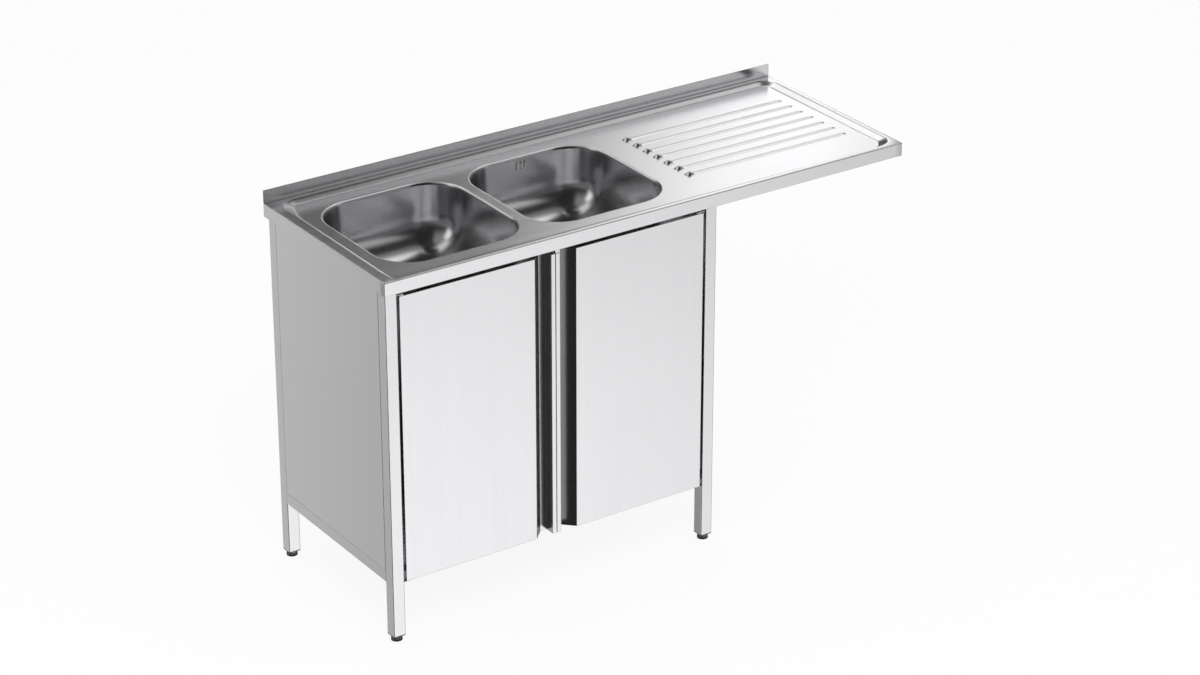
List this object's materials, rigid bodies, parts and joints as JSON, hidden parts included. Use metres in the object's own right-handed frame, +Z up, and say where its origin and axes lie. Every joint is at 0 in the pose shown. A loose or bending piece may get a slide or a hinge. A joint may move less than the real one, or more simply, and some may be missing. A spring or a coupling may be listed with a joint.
{
  "type": "commercial sink cabinet",
  "caption": "Stainless sink cabinet: a pressed worktop with two bowls and a ribbed drainer, on a tube frame with hinged doors, reaching past the frame over an open bay.",
  "frame": {"origin": "on the floor, under the middle of the worktop's width and depth", "axes": "+X to the right along the worktop, +Y to the wall, +Z up"},
  "size_m": [1.4, 0.52, 0.911],
  "materials": {
    "sheet_steel": "satin",
    "tube_steel": "satin",
    "strike_steel": "plain",
    "chrome": "polished",
    "magnet": "matt",
    "foot": "matt",
    "black_plastic": "matt",
    "white_plastic": "gloss",
    "rubber": "matt"
  },
  "bodies": {
    "cabinet": {"worktop": "sheet_steel", "upstand": "sheet_steel", "left_bowl": "sheet_steel", "right_bowl": "sheet_steel", "drainer_front_beam": "tube_steel", "drainer_back_beam": "tube_steel", "drainer_end_beam": "tube_steel", "drainer_cross_beam": "tube_steel", "front_left_leg": "tube_steel", "front_right_leg": "tube_steel", "back_left_leg": "tube_steel", "back_right_leg": "tube_steel", "front_top_rail": "tube_steel", "back_top_rail": "tube_steel", "left_top_rail": "tube_steel", "right_top_rail": "tube_steel", "left_bottom_rail": "tube_steel", "right_bottom_rail": "tube_steel", "back_bottom_rail": "tube_steel", "bottom_shelf": "sheet_steel", "left_panel": "sheet_steel", "right_panel": "sheet_steel", "back_panel": "sheet_steel", "left_top_hinge": "tube_steel", "left_bottom_hinge": "tube_steel", "right_top_hinge": "tube_steel", "right_bottom_hinge": "tube_steel", "centre_catch": "sheet_steel", "catch_magnets": "magnet", "foot_inserts": "black_plastic", "left_waste": "chrome", "right_waste": "chrome", "left_waste_gasket": "rubber", "right_waste_gasket": "rubber", "left_waste_nut": "white_plastic", "right_waste_nut": "white_plastic", "overflow_shell": "white_plastic", "overflow_hose": "rubber", "left_drain_pipe": "white_plastic", "right_drain_pipe": "white_plastic", "drain_tee": "white_plastic", "trap_head": "white_plastic", "trap_cup": "white_plastic", "outlet_pipe": "white_plastic", "outlet_coupler": "white_plastic"},
    "left_door": {"left_door_skin": "sheet_steel", "left_door_liner": "sheet_steel", "left_door_bushes": "white_plastic", "left_door_strike": "strike_steel"},
    "right_door": {"right_door_skin": "sheet_steel", "right_door_liner": "sheet_steel", "right_door_bushes": "white_plastic", "right_door_strike": "strike_steel"},
    "front_left_foot": {"front_left_foot": "foot"},
    "front_right_foot": {"front_right_foot": "foot"},
    "back_left_foot": {"back_left_foot": "foot"},
    "back_right_foot": {"back_right_foot": "foot"},
    "left_plug": {"left_plug": "chrome"},
    "right_plug": {"right_plug": "chrome"}
  },
  "joints": [
    {"name": "left_door_hinge", "type": "hinge", "parent": "cabinet", "child": "left_door", "pos_m": [-0.6538, -0.2508, 0.4935], "axis": [0, 0, -1], "range_deg": [0, 110]},
    {"name": "right_door_hinge", "type": "hinge", "parent": "cabinet", "child": "right_door", "pos_m": [0.125, -0.2508, 0.4935], "axis": [0, 0, 1], "range_deg": [0, 110]},
    {"name": "front_left_foot_height", "type": "slide", "parent": "cabinet", "child": "front_left_foot", "axis": [0, 0, -1], "range_m": [0, 0.02]},
    {"name": "front_right_foot_height", "type": "slide", "parent": "cabinet", "child": "front_right_foot", "axis": [0, 0, -1], "range_m": [0, 0.02]},
    {"name": "back_left_foot_height", "type": "slide", "parent": "cabinet", "child": "back_left_foot", "axis": [0, 0, -1], "range_m": [0, 0.02]},
    {"name": "back_right_foot_height", "type": "slide", "parent": "cabinet", "child": "back_right_foot", "axis": [0, 0, -1], "range_m": [0, 0.02]},
    {"name": "left_plug_lift", "type": "slide", "parent": "cabinet", "child": "left_plug", "axis": [0, 0, 1], "range_m": [0, 0.12]},
    {"name": "right_plug_lift", "type": "slide", "parent": "cabinet", "child": "right_plug", "axis": [0, 0, 1], "range_m": [0, 0.12]}
  ]
}
